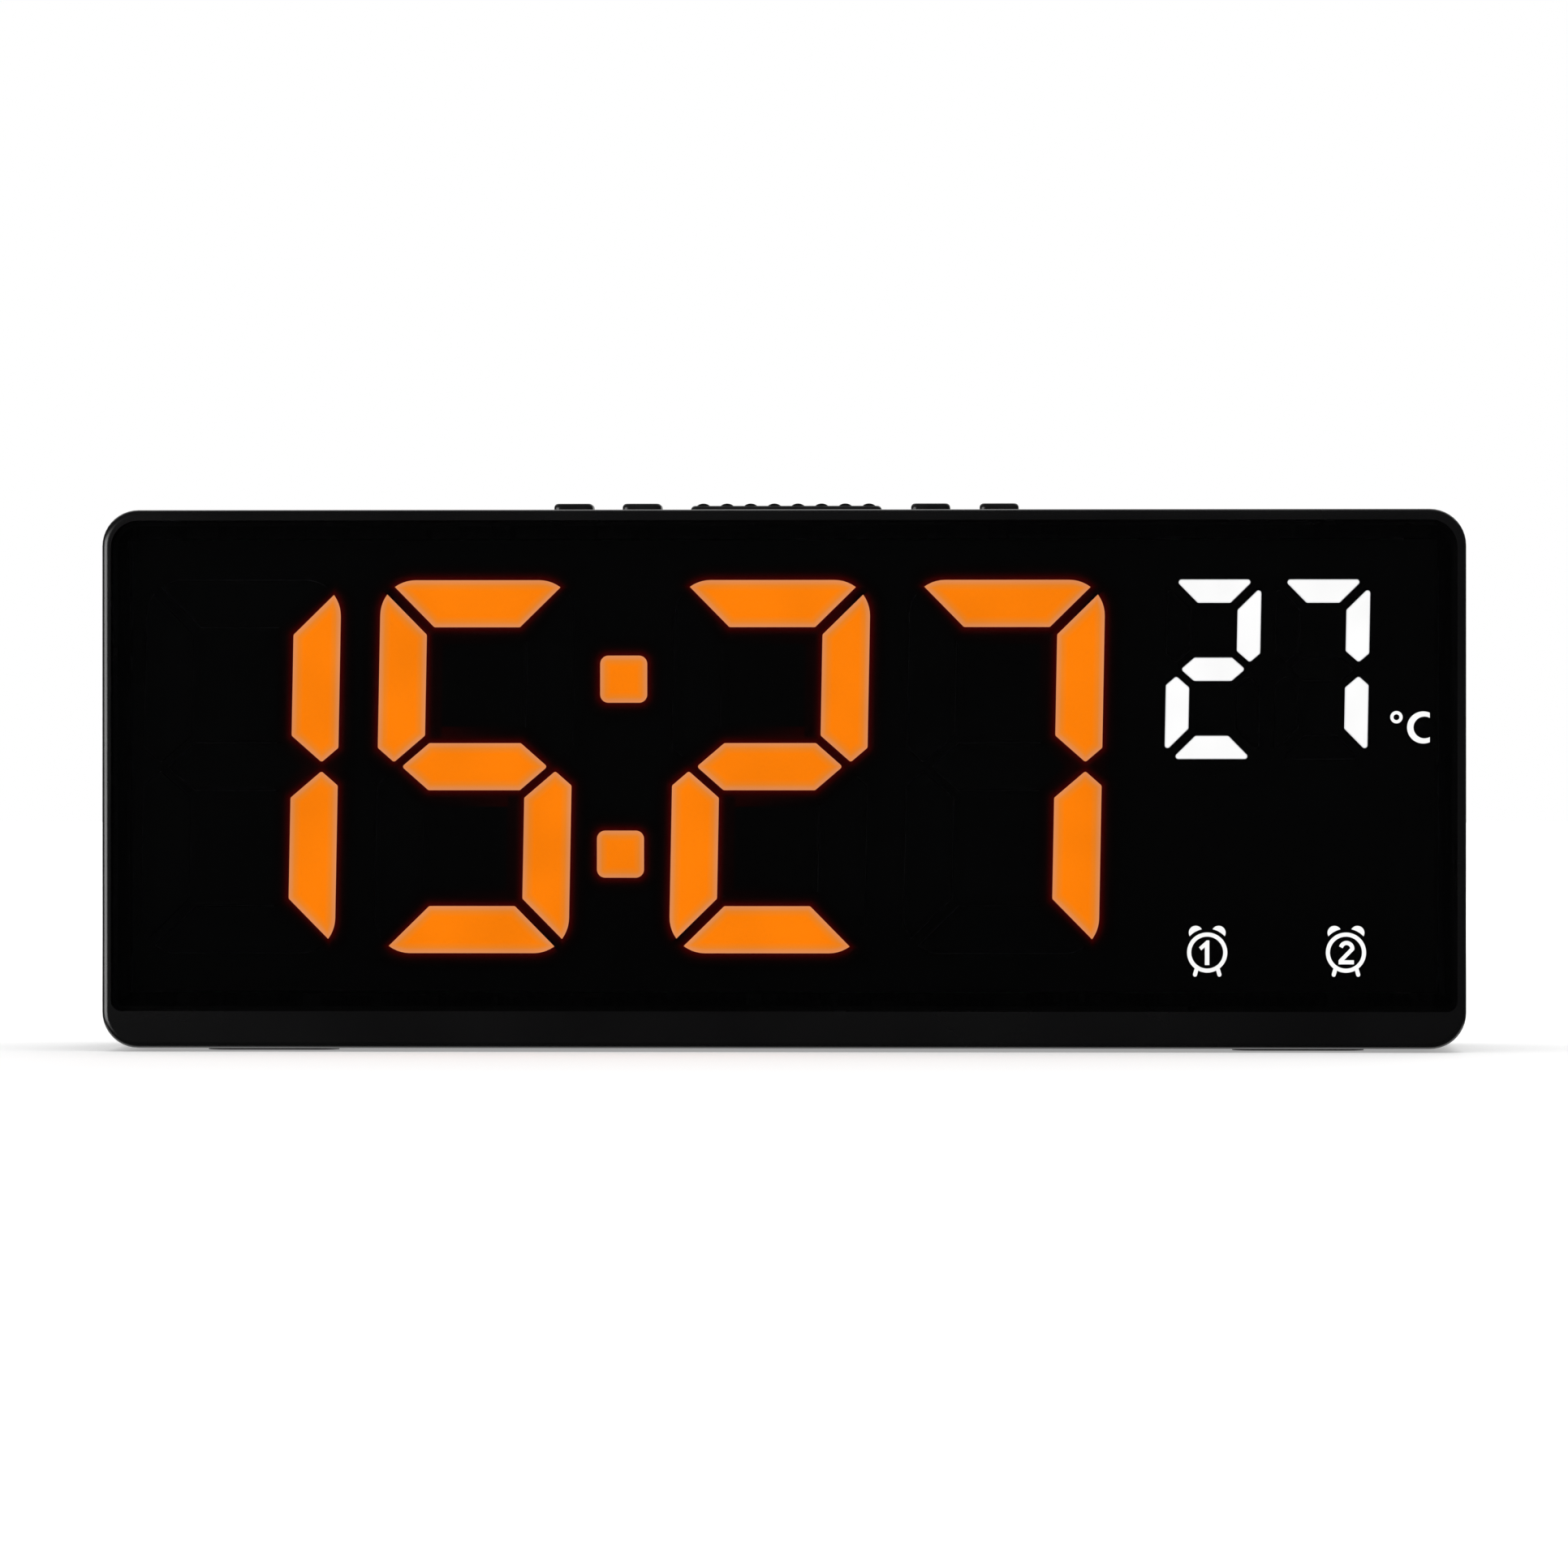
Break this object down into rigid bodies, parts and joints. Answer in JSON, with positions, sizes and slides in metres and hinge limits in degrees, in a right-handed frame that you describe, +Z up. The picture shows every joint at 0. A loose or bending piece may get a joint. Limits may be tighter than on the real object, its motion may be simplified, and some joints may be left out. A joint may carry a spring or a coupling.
{
  "type": "desk clock",
  "caption": "Digital desk clock with a full-width smoked window over lit time and temperature digits, keys along its top, and a leaning back with a battery bay.",
  "frame": {"origin": "middle of the outline, on the surface that the clock stands on", "axes": "+Z up, the lit front faces -Y, +X to the right as seen from the front"},
  "size_m": [0.165, 0.0384, 0.0668],
  "materials": {
    "case_plastic": "satin moulded black plastic",
    "smoked_window": "glossy smoked acrylic",
    "mask_black": "matt black film",
    "light_box_grey": "moulded pale grey plastic",
    "lit_orange": "lit orange diffuser",
    "lit_white": "lit white diffuser",
    "unlit_diffuser": "smoked diffuser, unlit",
    "circuit_board": "green solder mask",
    "led_package": "white package with a yellow dome",
    "chip_black": "moulded epoxy",
    "bright_steel": "nickel-plated steel",
    "dark_sleeve": "dark sleeve",
    "header_white": "white nylon",
    "lead_insulation": "wire insulation",
    "ribbon_grey": "grey ribbon cable",
    "foot_rubber": "soft black rubber",
    "key_plastic": "satin moulded black plastic",
    "cell_sleeve": "plain dark sleeve",
    "tape_black": "adhesive foam ring"
  },
  "bodies": {
    "housing": {"front_frame": "case_plastic", "front_lens": "smoked_window", "lens_tape": "tape_black", "mask_film": "mask_black", "reflector_block": "light_box_grey", "time_segments_lit": "lit_orange", "time_segments_dark": "unlit_diffuser", "colon_dots": "lit_orange", "temperature_segments_lit": "lit_white", "temperature_segments_dark": "unlit_diffuser", "sign_diffusers": "lit_white", "main_board": "circuit_board", "display_leds": "led_package", "controller_chip": "chip_black", "clock_crystal": "bright_steel", "smoothing_capacitor": "dark_sleeve", "sounder": "chip_black", "lead_headers": "header_white", "temperature_sensor": "dark_sleeve", "board_screws": "bright_steel", "rear_cover": "case_plastic", "case_screws": "bright_steel", "rubber_feet": "foot_rubber", "key_board": "circuit_board", "key_switches": "chip_black", "key_board_screws": "bright_steel", "key_ribbon": "ribbon_grey", "usb_board": "circuit_board", "usb_socket": "bright_steel", "usb_tongue": "chip_black", "power_leads": "lead_insulation", "battery_cells": "cell_sleeve", "battery_springs": "bright_steel", "battery_contacts": "bright_steel", "battery_leads": "lead_insulation"},
    "battery_door": {"battery_door": "case_plastic"},
    "left_outer_button": {"left_outer_key": "key_plastic", "left_outer_stem": "chip_black"},
    "left_inner_button": {"left_inner_key": "key_plastic", "left_inner_stem": "chip_black"},
    "snooze_button": {"snooze_key": "key_plastic", "snooze_stem": "chip_black"},
    "right_inner_button": {"right_inner_key": "key_plastic", "right_inner_stem": "chip_black"},
    "right_outer_button": {"right_outer_key": "key_plastic", "right_outer_stem": "chip_black"}
  },
  "joints": [
    {"name": "battery_door_swing", "type": "hinge", "parent": "housing", "child": "battery_door", "pos_m": [0, 0.01846, 0.00757], "axis": [-1, 0, 0], "range_deg": [0, 80]},
    {"name": "left_outer_press", "type": "slide", "parent": "housing", "child": "left_outer_button", "axis": [0, 0, -1], "range_m": [0, 0.0004], "stiffness_N_per_m": 900},
    {"name": "left_inner_press", "type": "slide", "parent": "housing", "child": "left_inner_button", "axis": [0, 0, -1], "range_m": [0, 0.0004], "stiffness_N_per_m": 900},
    {"name": "snooze_press", "type": "slide", "parent": "housing", "child": "snooze_button", "axis": [0, 0, -1], "range_m": [0, 0.0004], "stiffness_N_per_m": 900},
    {"name": "right_inner_press", "type": "slide", "parent": "housing", "child": "right_inner_button", "axis": [0, 0, -1], "range_m": [0, 0.0004], "stiffness_N_per_m": 900},
    {"name": "right_outer_press", "type": "slide", "parent": "housing", "child": "right_outer_button", "axis": [0, 0, -1], "range_m": [0, 0.0004], "stiffness_N_per_m": 900}
  ]
}
